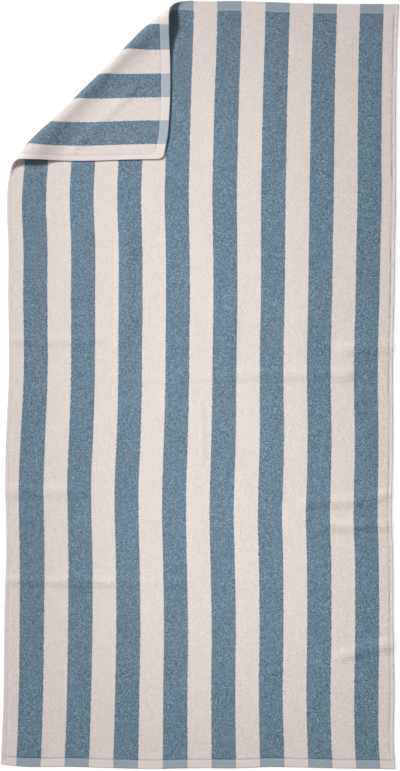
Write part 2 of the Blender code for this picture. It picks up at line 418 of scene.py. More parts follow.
class StripeLook(bpy.types.PropertyGroup):
    """Places and colours of the woven stripes."""

    count: IntProperty(
        name="Stripes", description="Number of dark stripes", default=8, min=1
    )
    width: FloatProperty(
        name="Stripe Width", description="Width of a dark stripe", default=0.0440, unit="LENGTH"
    )
    pitch: FloatProperty(
        name="Stripe Pitch", description="Width of a dark and a light stripe together",
        default=0.0872, unit="LENGTH"
    )
    dark: FloatVectorProperty(
        name="Dark Yarn", description="Colour of the dark stripes' pile",
        default=(0.180, 0.265, 0.335), size=3, subtype="COLOR"
    )
    light: FloatVectorProperty(
        name="Light Yarn", description="Colour of the light stripes' pile",
        default=(0.699, 0.630, 0.604), size=3, subtype="COLOR"
    )
    dark_contrast: FloatProperty(
        name="Dark Contrast", description="How much the dark yarn's shades differ",
        default=0.31, subtype="FACTOR"
    )
    light_contrast: FloatProperty(
        name="Light Contrast", description="How much the light yarn's shades differ",
        default=0.022, subtype="FACTOR"
    )
    dark_hem: FloatVectorProperty(
        name="Dark Hem", description="Colour of the dark stripes where they are flat woven",
        default=(0.342, 0.394, 0.442), size=3, subtype="COLOR"
    )
    dark_reverse: FloatVectorProperty(
        name="Dark Hem Reverse", description="Colour of the dark hems on the back of the cloth",
        default=(0.416, 0.477, 0.538), size=3, subtype="COLOR"
    )
    light_hem: FloatVectorProperty(
        name="Light Hem", description="Colour of the light stripes where they are flat woven",
        default=(0.785, 0.708, 0.690), size=3, subtype="COLOR"
    )
    light_reverse: FloatVectorProperty(
        name="Light Hem Reverse", description="Colour of the light hems on the back of the cloth",
        default=(0.800, 0.728, 0.708), size=3, subtype="COLOR"
    )


class PileSizes(bpy.types.PropertyGroup):
    """The loops of the terry pile."""

    pitch: FloatProperty(
        name="Pitch", description="Distance from one loop to the next", default=0.00202,
        unit="LENGTH"
    )
    height: FloatProperty(
        name="Height", description="How far a loop stands out of the weave", default=0.0011,
        unit="LENGTH"
    )
    light_height: FloatProperty(
        name="Light Height", description="How far a loop of the light yarn stands out",
        default=0.0005, unit="LENGTH"
    )
    width: FloatProperty(
        name="Width", description="Width of a loop at its foot", default=0.0027, unit="LENGTH"
    )
    lean: FloatProperty(
        name="Lean", description="How far loops lean, as a share of their height", default=0.40,
        subtype="FACTOR"
    )
    light_lean: FloatProperty(
        name="Light Lean", description="How far loops of the light yarn lean", default=0.20,
        subtype="FACTOR"
    )
    seed: IntProperty(
        name="Seed", description="Seed of the loops' places, shades, lean, turn and size",
        default=7
    )


class StitchSizes(bpy.types.PropertyGroup):
    """The rows of machine stitches that hold the hems."""

    pitch: FloatProperty(
        name="Pitch", description="Distance from one stitch to the next", default=0.0032,
        unit="LENGTH"
    )
    length: FloatProperty(
        name="Length", description="Length of a stitch", default=0.0025, unit="LENGTH"
    )
    width: FloatProperty(
        name="Width", description="Width of the thread", default=0.0006, unit="LENGTH"
    )
    inset: FloatProperty(
        name="Inset", description="Distance of the stitches from the inner line of the hems",
        default=0.0013, unit="LENGTH"
    )
    pull: FloatProperty(
        name="Pull", description="Depth to which the stitches pull in the cloth's faces",
        default=0.0003, unit="LENGTH"
    )
    pile_pull: FloatProperty(
        name="Pile Pull", description="Depth of the furrow that the right hem's stitches draw",
        default=0.0008, unit="LENGTH"
    )
    rim_reach: FloatProperty(
        name="Rim Reach", description="How far out from its stitches the right hem stays low",
        default=0.0085, unit="LENGTH"
    )
    pull_reach: FloatProperty(
        name="Pull Reach", description="How far from the stitches the faces are pulled in",
        default=0.0022, unit="LENGTH"
    )
    thread: FloatVectorProperty(
        name="Thread", description="Colour of the sewing thread", default=(0.66, 0.60, 0.57),
        size=3, subtype="COLOR"
    )


class StageLook(bpy.types.PropertyGroup):
    """Floor, lights and camera."""

    floor: FloatVectorProperty(
        name="Floor", description="Colour of the floor", default=(0.3, 0.3, 0.3), size=3,
        subtype="COLOR"
    )
    sun: FloatProperty(
        name="Window Light", description="Strength of the light from the upper left", default=3.85
    )
    strip: FloatProperty(
        name="Strip Light", description="Power of the soft strip overhead", default=1.32,
        unit="POWER"
    )
    sky: FloatProperty(
        name="Room Light", description="Strength of the light from all round", default=0.03,
        subtype="FACTOR"
    )
    glow: FloatProperty(
        name="Glow", description="How strongly the floor shines of itself", default=0.74,
        subtype="FACTOR"
    )
    camera_distance: FloatProperty(
        name="Camera Distance", description="Height of the camera above the floor", default=8.0,
        unit="LENGTH"
    )
    margin: FloatProperty(
        name="Margin", description="Length seen, in times the length of the open cloth",
        default=1.00505, subtype="FACTOR"
    )


GROUPS = {
    "bath_towel_cloth": ClothSizes,
    "bath_towel_fold": FoldSizes,
    "bath_towel_stripes": StripeLook,
    "bath_towel_pile": PileSizes,
    "bath_towel_stitches": StitchSizes,
    "bath_towel_stage": StageLook,
}


# How the cloth lies.


def ease(share):
    """Smooth rise from 0 to 1, flat at both ends."""
    share = np.clip(share, 0.0, 1.0)
    return share * share * (3.0 - 2.0 * share)


def turn_profile():
    """Out and up of a turn of half a circle, made of one metre of cloth, at even steps of it."""
    middles = (np.arange(PROFILE_STEPS) + 0.5) / PROFILE_STEPS
    angles = math.pi * ease(middles)
    out = np.concatenate(([0.0], np.cumsum(np.cos(angles)))) / PROFILE_STEPS
    up = np.concatenate(([0.0], np.cumsum(np.sin(angles)))) / PROFILE_STEPS
    return np.linspace(0.0, 1.0, PROFILE_STEPS + 1), out, up


SHARES, TURN_OUT, TURN_UP = turn_profile()


def beside(from_edge, fade):
    """Share of a margin's shift: none at the edge, all at the inner line, none past the fade."""
    return ease(from_edge / MARGIN) * (1.0 - ease((from_edge - MARGIN) / fade))


def read_table(rows, column, places):
    """A column of a table read as a smooth curve over its first column."""
    at = np.array([row[0] for row in rows])
    values = np.array([getattr(row, column) for row in rows])
    slopes = np.gradient(values, at)
    places = np.clip(places, at[0], at[-1])
    row = np.clip(np.searchsorted(at, places) - 1, 0, len(at) - 2)
    span = at[row + 1] - at[row]
    share = (places - at[row]) / span
    start_pull = share * (1.0 - share) ** 2 * span * slopes[row]
    end_pull = share ** 2 * (1.0 - share) * span * slopes[row + 1]
    return values[row] + (values[row + 1] - values[row]) * ease(share) + start_pull - end_pull


def patches(a, b, kind):
    """Values from 0 to 1 that make soft patches of one kind on the cloth."""
    knots = np.random.default_rng(kind.seed).random(PATCH_KNOTS)
    across = a / kind.across + PATCH_MIDDLE[0]
    along = b / kind.along + PATCH_MIDDLE[1]
    column = np.floor(across).astype(int)
    row = np.floor(along).astype(int)
    share_a = ease(across - column)
    share_b = ease(along - row)
    columns, rows = PATCH_KNOTS
    column, row = column % columns, row % rows
    next_column, next_row = (column + 1) % columns, (row + 1) % rows
    low = knots[column, row] * (1 - share_a) + knots[next_column, row] * share_a
    high = knots[column, next_row] * (1 - share_a) + knots[next_column, next_row] * share_a
    return low * (1 - share_b) + high * share_b


class Lay:
    """Places points of the open cloth where they lie."""

    def __init__(self, scene):
        self.cloth = scene.bath_towel_cloth
        self.fold = scene.bath_towel_fold
        self.stitches = scene.bath_towel_stitches
        self.half_width = self.cloth.width / 2
        self.half_length = self.cloth.length / 2

    def round_corners(self, a, b):
        """Draws the corners of a square-cornered grid in to the cloth's round ones."""
        is_flap = (a < 0.0) & (b > 0.0)
        radius = np.where(is_flap, self.cloth.flap_corner_radius, self.cloth.corner_radius)
        past_a = np.maximum(np.abs(a) - (self.half_width - radius), 0.0)
        past_b = np.maximum(np.abs(b) - (self.half_length - radius), 0.0)
        drawn_a = past_a * np.sqrt(1.0 - (past_b / radius) ** 2 / 2)
        drawn_b = past_b * np.sqrt(1.0 - (past_a / radius) ** 2 / 2)
        return a - np.sign(a) * (past_a - drawn_a), b - np.sign(b) * (past_b - drawn_b)

    def inside(self, a, b, side_inset, end_inset, flap_radius, radius):
        """How far places lie inside a line round the cloth that turns its corners with a radius."""
        radius = np.where((a < 0.0) & (b > 0.0), flap_radius, radius)
        past_a = np.abs(a) - (self.half_width - side_inset - radius)
        past_b = np.abs(b) - (self.half_length - end_inset - radius)
        round_part = np.hypot(np.maximum(past_a, 0.0), np.maximum(past_b, 0.0))
        return radius - round_part - np.minimum(np.maximum(past_a, past_b), 0.0)

    def inside_edge(self, a, b):
        """How far places lie inside the cloth's edge."""
        cloth = self.cloth
        return self.inside(a, b, 0.0, 0.0, cloth.flap_corner_radius, cloth.corner_radius)

    def inside_hem(self, a, b, side):
        """How far places lie inside the hems of one face: less than nothing on a hem.

        The side hems are turned to the back, and the front's pile runs out over their fold.
        """
        cloth = self.cloth
        side_hem = np.where(a < 0.0, cloth.left_hem, cloth.right_hem) * (side == BACK)
        end_hem = np.where(b < 0.0, cloth.bottom_hem, cloth.top_hem)
        return self.inside(a, b, side_hem, end_hem, cloth.seam_radius, cloth.hem_step)

    def spread(self, a, b):
        """X and Y of the open cloth, with its edges as straight as hands lay them."""
        rightward = a / (2 * self.half_width) + 0.5
        leftward = 1.0 - rightward
        upward = b / (2 * self.half_length) + 0.5
        shift = Sides(*(read_table(SIDES, column, b) for column in Sides._fields))
        rise = Ends(*(read_table(ENDS, column, a) for column in Ends._fields))
        quarter = np.where(a < 0.0, shift.left_quarter, shift.right_quarter)
        x = a + shift.left * leftward * (1.0 - 2.0 * rightward)
        x += shift.left_margin * beside(self.half_width + a, LEFT_FADE)
        x += shift.middle * 4.0 * rightward * leftward
        x += quarter * np.sin(math.tau * rightward) ** 2
        x += shift.right_margin * beside(self.half_width - a, RIGHT_FADE)
        x += shift.right * rightward * (2.0 * rightward - 1.0)
        y = b + rise.bottom * (1.0 - upward) + rise.top * upward
        on_flap = ease(self.past_fold(x, y) / FLAP_START)
        on_flap *= ease((a + self.half_width - FLAP_SEAM) / FLAP_RUN)
        return x - self.fold.flap_shift * on_flap, y

    def past_fold(self, x, y):
        """How far points of the open cloth lie past the fold line, towards the corner."""
        return (y - x - self.fold.line) / math.sqrt(2)

    def along_fold(self, x, y):
        """How far along the fold line points lie, up and right of its middle."""
        return (x + y - self.fold.middle) / math.sqrt(2)

    def relief(self, x, y):
        """Height of creases and of the cloth's faint waves above the table."""
        height = np.zeros_like(x)
        for crease in CREASES:
            run_x, run_y = crease.x_to - crease.x_from, crease.y_to - crease.y_from
            length = math.hypot(run_x, run_y)
            along = ((x - crease.x_from) * run_x + (y - crease.y_from) * run_y) / length
            aside = ((y - crease.y_from) * run_x - (x - crease.x_from) * run_y) / length
            end = np.minimum(along, length - along) / (2 * crease.reach)
            ridge = np.clip(1.0 - (aside / crease.reach) ** 2, 0.0, 1.0) ** 2
            height = np.maximum(height, crease.height * ridge * ease(end))
        waves = BROAD_WAVE * patches(x, y, BROAD_WAVES) + NARROW_WAVE * patches(x, y, NARROW_WAVES)
        return height + waves

    def turn_over(self, past, along):
        """Where cloth lies that was past the fold line: distance past it now, and height."""
        length = read_table(TURNS, "length", along)
        bulge = read_table(TURNS, "bulge", along)
        share = np.clip(past / length + 0.5, 0.0, 1.0)
        out = length * np.interp(share, SHARES, TURN_OUT) - length / 2
        out += bulge * 4 * share * (1 - share)
        up = length * np.interp(share, SHARES, TURN_UP)
        beyond = np.maximum(past - length / 2, 0.0)
        fall = length * TURN_UP[-1] - self.fold.rest_height
        down = np.minimum(beyond / (self.fold.drop_run * fall), 1.0)
        skew = self.fold.drop_skew
        settled = ease(down / (skew + (1.0 - skew) * down))
        drawn_in = SLOPE_TAKES * fall / self.fold.drop_run * settled
        now = np.where(past < -length / 2, past, out - beyond + drawn_in)
        return now, up - fall * settled

    def back_face(self, a, b):
        """Points of the cloth's back, which lies on the table outside the flap."""
        x, y = self.spread(a, b)
        past = self.past_fold(x, y)
        now, height = self.turn_over(past, self.along_fold(x, y))
        shift = (now - past) / math.sqrt(2)
        return np.stack((x - shift, y + shift, height + self.relief(x, y)), axis=-1)

    def ways(self, a, b):
        """Unit vectors out of the back through to the front."""
        step = 0.0002
        across = self.back_face(a + step, b) - self.back_face(a - step, b)
        along = self.back_face(a, b + step) - self.back_face(a, b - step)
        way = np.cross(across, along)
        return way / np.linalg.norm(way, axis=-1, keepdims=True)

    def levels(self, a, b):
        """Heights of the back and the front above the back's own face, through the cloth."""
        cloth = self.cloth
        step = ease(self.inside_hem(a, b, FRONT) / cloth.hem_step + 0.5)
        full = cloth.hem_thickness + (cloth.thickness - cloth.hem_thickness) * step
        from_edge = self.inside_edge(a, b) / cloth.edge_round
        inset = np.clip(from_edge, 0.0, 1.0)
        fallen = cloth.edge_round * (1.0 - np.sqrt(1.0 - (1.0 - inset) ** 2))
        swell = np.exp(-((from_edge - SWELL_MIDDLE) / SWELL_REACH) ** 2) * (1.0 - step)
        swollen = cloth.hem_swell * swell
        back_pull, front_pull = self.pulls(a, b)
        return fallen - swollen + back_pull, full - fallen + swollen - front_pull

    def pulls(self, a, b):
        """How deep the stitches pull in the back and the front.

        The front's own pile shows only the right hem's row, as an uneven furrow.
        """
        stitches = self.stitches
        from_row = self.inside_hem(a, b, BACK) + stitches.inset
        pull = stitches.pull * np.exp(-((from_row / stitches.pull_reach) ** 2))
        from_right = self.half_width - a - self.cloth.right_hem + stitches.inset + FURROW_OFFSET
        stretches = FURROW_LEAST + FURROW_SPREAD * patches(a, b, FURROW_STRETCHES)
        uneven = patches(a, b, FURROW_SPOTS) * stretches
        reach = np.where(from_right > 0, stitches.pull_reach, stitches.rim_reach)
        on_pile = ease(self.inside_hem(a, b, FRONT) / FURROW_START)
        grown = 0.5 + 0.5 * ease((b + self.half_length) / FURROW_GROWTH)
        furrow = np.exp(-((from_right / reach) ** 2)) * uneven * on_pile * grown
        return pull, pull + stitches.pile_pull * furrow

    def place(self, a, b, side):
        """Points of one face of the cloth and the unit vectors that point out of it."""
        back_level, front_level = self.levels(a, b)
        ways = self.ways(a, b)
        level = front_level if side == FRONT else back_level
        outward = ways if side == FRONT else -ways
        return self.back_face(a, b) + ways * level[:, None], outward


# Meshes and node trees.


def add_object(name, mesh):
    """A new object that shows a mesh where its points lie."""
    piece = bpy.data.objects.new(name, mesh)
    bpy.context.scene.collection.objects.link(piece)
    return piece


def drop_object(name):
    """Removes an earlier make of a piece."""
    old = bpy.data.objects.get(name)
    if old is not None:
        bpy.data.objects.remove(old, do_unlink=True)


def point_attribute(mesh, name, kind, values):
    """Writes one value per point."""
    attribute = mesh.attributes.new(name, kind, "POINT")
    key = "vector" if kind == "FLOAT_VECTOR" else "value"
    attribute.data.foreach_set(key, np.asarray(values).ravel())


def grid_lines(lay, half, low_hem, high_hem):
    """Places of grid lines from one edge to the other: even, but for those at each edge's hem."""
    cell, pull_reach = lay.cloth.cell, lay.stitches.pull_reach
    fixed = []
    for sign, hem in ((-1, low_hem), (1, high_hem)):
        row = hem - lay.stitches.inset
        fixed += [sign * (half - lay.cloth.edge_round * share) for share in EDGE_LINES]
        fixed += [sign * (half - row - pull_reach * share) for share in SEAM_LINES]
    fixed.sort()
    lines = [fixed[0]]
    for place in fixed[1:]:
        start = lines[-1]
        parts = max(1, math.ceil((place - start) / cell))
        lines += [start + (place - start) * part / parts for part in range(1, parts + 1)]
    return lines


def open_cloth(lay):
    """The open rectangle as a flat mesh, with fine rows at the hems and along the fold."""
    cloth = lay.cloth
    columns = grid_lines(lay, lay.half_width, cloth.left_hem, cloth.right_hem)
    rows = grid_lines(lay, lay.half_length, cloth.bottom_hem, cloth.top_hem)
    mesh = bmesh.new()
    verts = [[mesh.verts.new((a, b, 0.0)) for a in columns] for b in rows]
    for lower, upper in zip(verts, verts[1:]):
        for k in range(len(columns) - 1):
            mesh.faces.new((lower[k], lower[k + 1], upper[k + 1], upper[k]))
    outward = Vector((-1.0, 1.0, 0.0)).normalized()
    for distance in FOLD_LINES:
        place = Vector((0.0, lay.fold.line, 0.0)) + outward * distance
        bmesh.ops.bisect_plane(mesh, geom=mesh.verts[:] + mesh.edges[:] + mesh.faces[:],
                               dist=ON_LINE, plane_co=place, plane_no=outward)
    return mesh


def cloth_mesh(lay):
    """The cloth as one closed sheet: front, back and the rim between them."""
    flat = open_cloth(lay)
    flat.verts.index_update()
    places = np.array([vert.co[:2] for vert in flat.verts])
    a, b = lay.round_corners(places[:, 0], places[:, 1])
    count = len(a)
    front, _ = lay.place(a, b, FRONT)
    back, _ = lay.place(a, b, BACK)
    faces = []
    for face in flat.faces:
        corners = [vert.index for vert in face.verts]
        faces.append(corners)
        faces.append([count + k for k in reversed(corners)])
    for edge in flat.edges:
        if edge.is_boundary:
            loop = edge.link_loops[0]
            start, end = loop.vert.index, loop.link_loop_next.vert.index
            faces.append([count + start, count + end, end, start])
    flat.free()
    mesh = bpy.data.meshes.new("cloth")
    mesh.from_pydata(np.concatenate((front, back)).tolist(), [], faces)
    places = [np.stack((a, b, lay.inside_hem(a, b, side)), axis=-1) for side in (FRONT, BACK)]
    point_attribute(mesh, PLACE, "FLOAT_VECTOR", np.concatenate(places))
    point_attribute(mesh, REVERSE, "FLOAT", np.repeat((FRONT, BACK), count))
    mesh.shade_smooth()
    mesh.validate()
    return mesh


class Tree:
    """A geometry node tree with named inputs, built up node by node."""

    def __init__(self, name):
        self.tree = bpy.data.node_groups.new(name, "GeometryNodeTree")
        self.tree.interface.new_socket("Geometry", in_out="OUTPUT",
                                       socket_type="NodeSocketGeometry")
        self.inside = self.tree.nodes.new("NodeGroupInput")
        self.outside = self.tree.nodes.new("NodeGroupOutput")
        self.identifiers = {}

    def input(self, name, kind):
        """A new named input. Returns the socket that nodes read it from."""
        item = self.tree.interface.new_socket(name, in_out="INPUT", socket_type=kind)
        self.identifiers[name] = item.identifier
        return self.inside.outputs[name]

    def node(self, kind, settings=(), **inputs):
        """A new node with some of its sockets fed. Returns its first output."""
        node = self.tree.nodes.new(kind)
        for key, value in dict(settings).items():
            setattr(node, key, value)
        for key, value in inputs.items():
            socket = next(s for s in node.inputs if s.enabled and s.name.replace(" ", "_") == key)
            if isinstance(value, bpy.types.NodeSocket):
                self.tree.links.new(value, socket)
            else:
                socket.default_value = value
        return next(s for s in node.outputs if s.enabled)

    def attribute(self, name, kind):
        """The values of a named attribute of the points."""
        return self.node("GeometryNodeInputNamedAttribute", {"data_type": kind}, Name=name)

    def finish(self, geometry):
        """Gives out the geometry. Returns the tree."""
        self.tree.links.new(geometry, self.outside.inputs["Geometry"])
        return self

    def bake(self, name, source, values):
        """Runs the tree on a mesh and returns a plain object with the result."""
        guide = add_object(name + "_guide", source)
        modifier = guide.modifiers.new("Nodes", "NODES")
        modifier.node_group = self.tree
        for key, value in values.items():
            modifier[self.identifiers[key]] = value
        evaluated = guide.evaluated_get(bpy.context.evaluated_depsgraph_get())
        mesh = bpy.data.meshes.new_from_object(evaluated)
        bpy.data.objects.remove(guide, do_unlink=True)
        bpy.data.meshes.remove(source)
        for spare in (OUTWARD, SHADE):
            if spare in mesh.attributes:
                mesh.attributes.remove(mesh.attributes[spare])
        mesh.name = name
        drop_object(name)
        return add_object(name, mesh)


def pile_tree():
    """Plants a small leaning loop on every point, in one of three shades of its yarn."""
    tree = Tree("Terry Pile")
    roots = tree.input("Roots", "NodeSocketGeometry")
    height = tree.input("Loop Height", "NodeSocketFloat")
    radius = tree.input("Loop Radius", "NodeSocketFloat")
    lean = tree.input("Lean", "NodeSocketFloat")
    seed = tree.input("Seed", "NodeSocketInt")
    yarns = [tree.input(f"Yarn {k + 1}", "NodeSocketMaterial") for k in range(SHADES)]

    loop = tree.node("GeometryNodeMeshCone", {"fill_type": "NONE"}, Vertices=3, Radius_Top=0.0,
                     Radius_Bottom=radius, Depth=height)
    wander = tree.node("FunctionNodeRandomValue", {"data_type": "FLOAT_VECTOR"},
                       Min=(-1.0, -1.0, -1.0), Max=(1.0, 1.0, 1.0), Seed=seed)
    leaning = tree.node("ShaderNodeVectorMath", {"operation": "SCALE"}, Vector=wander, Scale=lean)
    standing = tree.node("ShaderNodeVectorMath", {"operation": "ADD"}, Vector=leaning)
    tree.tree.links.new(tree.attribute(OUTWARD, "FLOAT_VECTOR"), standing.node.inputs[1])
    upright = tree.node("FunctionNodeAlignRotationToVector", {"axis": "Z"}, Vector=standing)
    angle = tree.node("FunctionNodeRandomValue", {"data_type": "FLOAT"}, Min=0.0, Max=math.tau,
                      Seed=seed)
    spin = tree.node("FunctionNodeAxisAngleToRotation", Axis=(0.0, 0.0, 1.0), Angle=angle)
    turned = tree.node("FunctionNodeRotateRotation", {"rotation_space": "LOCAL"},
                       Rotation=upright, Rotate_By=spin)
    smallest, largest = LOOP_SIZES
    size = tree.node("FunctionNodeRandomValue", {"data_type": "FLOAT"}, Min=smallest, Max=largest,
                     Seed=seed)
    planted = tree.node("GeometryNodeInstanceOnPoints", Points=roots, Instance=loop,
                        Rotation=turned, Scale=size)
    real = tree.node("GeometryNodeRealizeInstances", Geometry=planted)
    shade = tree.attribute(SHADE, "INT")
    for number, yarn in enumerate(yarns):
        is_shade = tree.node("FunctionNodeCompare", {"data_type": "INT", "operation": "EQUAL"},
                             A=shade, B=number)
        real = tree.node("GeometryNodeSetMaterial", Geometry=real, Selection=is_shade,
                         Material=yarn)
    return tree.finish(real)


def stitch_tree():
    """Lays a stitch of thread at even steps along every line of a mesh."""
    tree = Tree("Hem Stitches")
    rows = tree.input("Rows", "NodeSocketGeometry")
    pitch = tree.input("Pitch", "NodeSocketFloat")
    size = tree.input("Stitch Size", "NodeSocketVector")
    thread = tree.input("Thread", "NodeSocketMaterial")

    curve = tree.node("GeometryNodeMeshToCurve", Mesh=rows)
    spots = tree.node("GeometryNodeResampleCurve", {"mode": "LENGTH"}, Curve=curve, Length=pitch)
    along = tree.node("GeometryNodeInputTangent")
    pointed = tree.node("FunctionNodeAlignRotationToVector", {"axis": "X"}, Vector=along)
    laid = tree.node("FunctionNodeAlignRotationToVector", {"axis": "Z", "pivot_axis": "X"},
                     Rotation=pointed, Vector=tree.attribute(OUTWARD, "FLOAT_VECTOR"))
    stitch = tree.node("GeometryNodeMeshIcoSphere", Radius=0.5, Subdivisions=1)
    sewn = tree.node("GeometryNodeInstanceOnPoints", Points=spots, Instance=stitch,
                     Rotation=laid, Scale=size)
    real = tree.node("GeometryNodeRealizeInstances", Geometry=sewn)
    return tree.finish(tree.node("GeometryNodeSetMaterial", Geometry=real, Material=thread))


# Materials.


class Shader:
    """A material with one Principled shader, built up node by node."""

    def __init__(self, name):
        old = bpy.data.materials.get(name)
        if old is not None:
            bpy.data.materials.remove(old)
        self.material = bpy.data.materials.new(name)
        self.material.use_nodes = True
        self.tree = self.material.node_tree
        self.surface = self.tree.nodes["Principled BSDF"]
        self.surface.inputs["Roughness"].default_value = 0.95
        self.surface.inputs["Specular IOR Level"].default_value = 0.15
        self.surface.inputs["Sheen Weight"].default_value = 0.20
        self.surface.inputs["Sheen Roughness"].default_value = 0.5

    def link(self, value, socket):
        """Feeds a socket from another one or with a plain value."""
        if isinstance(value, bpy.types.NodeSocket):
            self.tree.links.new(value, socket)
        else:
            socket.default_value = value

    def node(self, kind, **inputs):
        """A new node with some of its sockets fed."""
        node = self.tree.nodes.new(kind)
        for key, value in inputs.items():
            self.link(value, node.inputs[key.replace("_", " ")])
        return node

    def attribute(self, name, output):
        """The value of a named attribute of the mesh."""
        node = self.node("ShaderNodeAttribute")
        node.attribute_name = name
        return node.outputs[output]

    def math(self, operation, first, second=0.0):
        """One step of arithmetic."""
        node = self.tree.nodes.new("ShaderNodeMath")
        node.operation = operation
        self.link(first, node.inputs[0])
        self.link(second, node.inputs[1])
        return node.outputs[0]

    def mix(self, share, first, second):
        """A mix of two colours."""
        node = self.tree.nodes.new("ShaderNodeMix")
        node.data_type = "RGBA"
        self.link(share, node.inputs["Factor"])
        colours = [s for s in node.inputs if s.type == "RGBA"]
        self.link(first, colours[0])
        self.link(second, colours[1])
        return next(s for s in node.outputs if s.type == "RGBA")

    def noise(self, place, scale, detail=2.0, roughness=0.5):
        """Random patches on the cloth, about one over scale wide."""
        return self.node("ShaderNodeTexNoise", Vector=place, Scale=scale, Detail=detail,
                         Roughness=roughness).outputs["Fac"]


def full_colour(colour, shade=1.0):
    """A colour as four numbers, made lighter or darker."""
    return tuple(part * shade for part in colour) + (1.0,)


def yarn_material(name, colour, shade=1.0):
    """Plain cotton yarn."""
    shader = Shader(name)
    shader.surface.inputs["Base Color"].default_value = full_colour(colour, shade)
    return shader.material


def pile_yarn(name, colour, contrast):
    """One yarn of the pile in its three shades."""
    return [yarn_material(f"{name}_{k + 1}", colour, 1.0 + contrast * (k - 1))
            for k in range(SHADES)]


def stripe_margin(scene):
    """Width of the light margin outside the first and the last dark stripe."""
    cloth, stripes = scene.bath_towel_cloth, scene.bath_towel_stripes
    return (cloth.width - (stripes.count - 1) * stripes.pitch - stripes.width) / 2


def dark_stripes(shader, scene, place, a):
    """One where the cloth is dark and nothing where it is light, with a slightly uneven edge."""
    stripes = scene.bath_towel_stripes
    edge_noise = shader.noise(place, EDGE_NOISE)
    wander = shader.math("MULTIPLY", shader.math("SUBTRACT", edge_noise, 0.5), EDGE_WANDER)
    to_first = scene.bath_towel_cloth.width / 2 - stripe_margin(scene)
    from_first = shader.math("ADD", shader.math("ADD", a, wander), to_first)
    in_pitch = shader.math("FLOORED_MODULO", from_first, stripes.pitch)
    in_stripe = shader.math("LESS_THAN", in_pitch, stripes.width)
    # The outer stripes' edges wander too, so they have a little room past the margin's line.
    room = stripes.width * 0.05
    between_margins = shader.math("COMPARE", shader.math("ABSOLUTE", a), 0.0)
    between_margins.node.inputs[2].default_value = to_first + room
    return shader.math("MULTIPLY", in_stripe, between_margins)


def terry_colour(shader, stripes, place, is_dark):
    """The ground between the loops of the pile, with painted shade in random patches of its hollows.
    """
    mottle = shader.noise(place, GROUND_NOISE, detail=3.0, roughness=0.7)
    # Painted shade: a darkened copy of each yarn's colour for the hollows, mixed in by random
    # patches.
    painted_hollow_shade = shader.mix(is_dark, full_colour(stripes.light, LIGHT_HOLLOW_SHADE),
                         full_colour(stripes.dark, DARK_HOLLOW_SHADE))
    terry = shader.mix(is_dark, full_colour(stripes.light), full_colour(stripes.dark))
    return shader.mix(mottle, painted_hollow_shade, terry)


def hem_colour(shader, stripes, place, is_dark):
    """The flat-woven hems, with fine threads across them."""
    is_back = shader.attribute(REVERSE, "Fac")
    dark_hem = shader.mix(is_back, full_colour(stripes.dark_hem),
                          full_colour(stripes.dark_reverse))
    light_hem = shader.mix(is_back, full_colour(stripes.light_hem),
                           full_colour(stripes.light_reverse))
    woven = shader.mix(is_dark, light_hem, dark_hem)
    shaded = shader.mix(THREAD_SHADE, woven, BLACK)
    stretched = shader.node("ShaderNodeMapping", Vector=place, Scale=(1.0, 6.0, 1.0))
    threads = shader.noise(stretched.outputs["Vector"], THREAD_NOISE, detail=3.0, roughness=0.65)
    return shader.mix(threads, shaded, woven)


def weave_relief(shader, place, a, b, is_hem):
    """Relief of the ground: grains of terry, and a fine plain weave on the hems."""
    rows = shader.math("SINE", shader.math("MULTIPLY", b, math.tau / WEAVE_PITCH))
    wales = shader.math("SINE", shader.math("MULTIPLY", a, math.tau / WEAVE_PITCH))
    weave = shader.math("MULTIPLY", shader.math("MULTIPLY", rows, wales), WEAVE_DEPTH)
    grains = shader.node("ShaderNodeTexVoronoi", Vector=place, Scale=GRAINS).outputs["Distance"]
    is_terry = shader.math("SUBTRACT", 1.0, is_hem)
    relief = shader.math("ADD", shader.math("MULTIPLY", grains, is_terry),
                         shader.math("MULTIPLY", weave, is_hem))
    bump = shader.node("ShaderNodeBump", Height=relief, Strength=0.8, Distance=0.0006)
    return bump.outputs["Normal"]


def cloth_material(scene):
    """The striped ground weave and the flat-woven hems."""
    stripes = scene.bath_towel_stripes
    shader = Shader("striped_terry")
    place = shader.attribute(PLACE, "Vector")
    parts = shader.node("ShaderNodeSeparateXYZ", Vector=place)
    a, b, from_hem = parts.outputs["X"], parts.outputs["Y"], parts.outputs["Z"]
    is_dark = dark_stripes(shader, scene, place, a)
    is_hem = shader.math("LESS_THAN", from_hem, 0.0)
    colour = shader.mix(is_hem, terry_colour(shader, stripes, place, is_dark),
                        hem_colour(shader, stripes, place, is_dark))
    shader.link(colour, shader.surface.inputs["Base Color"])
    relief = weave_relief(shader, place, a, b, is_hem)
    shader.link(relief, shader.surface.inputs["Normal"])
    return shader.material


# Pieces.


def stripe_number(scene, a):
    """Which dark stripe a place across the cloth lies in, from 0, or -1 between and beside them."""
    stripes = scene.bath_towel_stripes
    from_first = a + scene.bath_towel_cloth.width / 2 - stripe_margin(scene)
    number = np.floor(from_first / stripes.pitch).astype(int)
    inside = (from_first - number * stripes.pitch < stripes.width) & (number >= 0)
    return np.where(inside & (number < stripes.count), number, -1)


def loop_rows(lay, pitch, seed):
    """Feet of the pile's loops on the open cloth: staggered rows with a little disorder."""
    columns = np.arange(-lay.half_width, lay.half_width, pitch)
    rows = np.arange(-lay.half_length, lay.half_length, pitch)
    a, b = np.meshgrid(columns, rows)
    a[1::2] += pitch / 2
    stray = np.random.default_rng(seed).uniform(-LOOP_STRAY, LOOP_STRAY, (2, *a.shape)) * pitch
    a, b = (a + stray[0]).ravel(), (b + stray[1]).ravel()
    kept = lay.inside_hem(a, b, FRONT) > LOOP_ROOM * pitch
    return a[kept], b[kept]


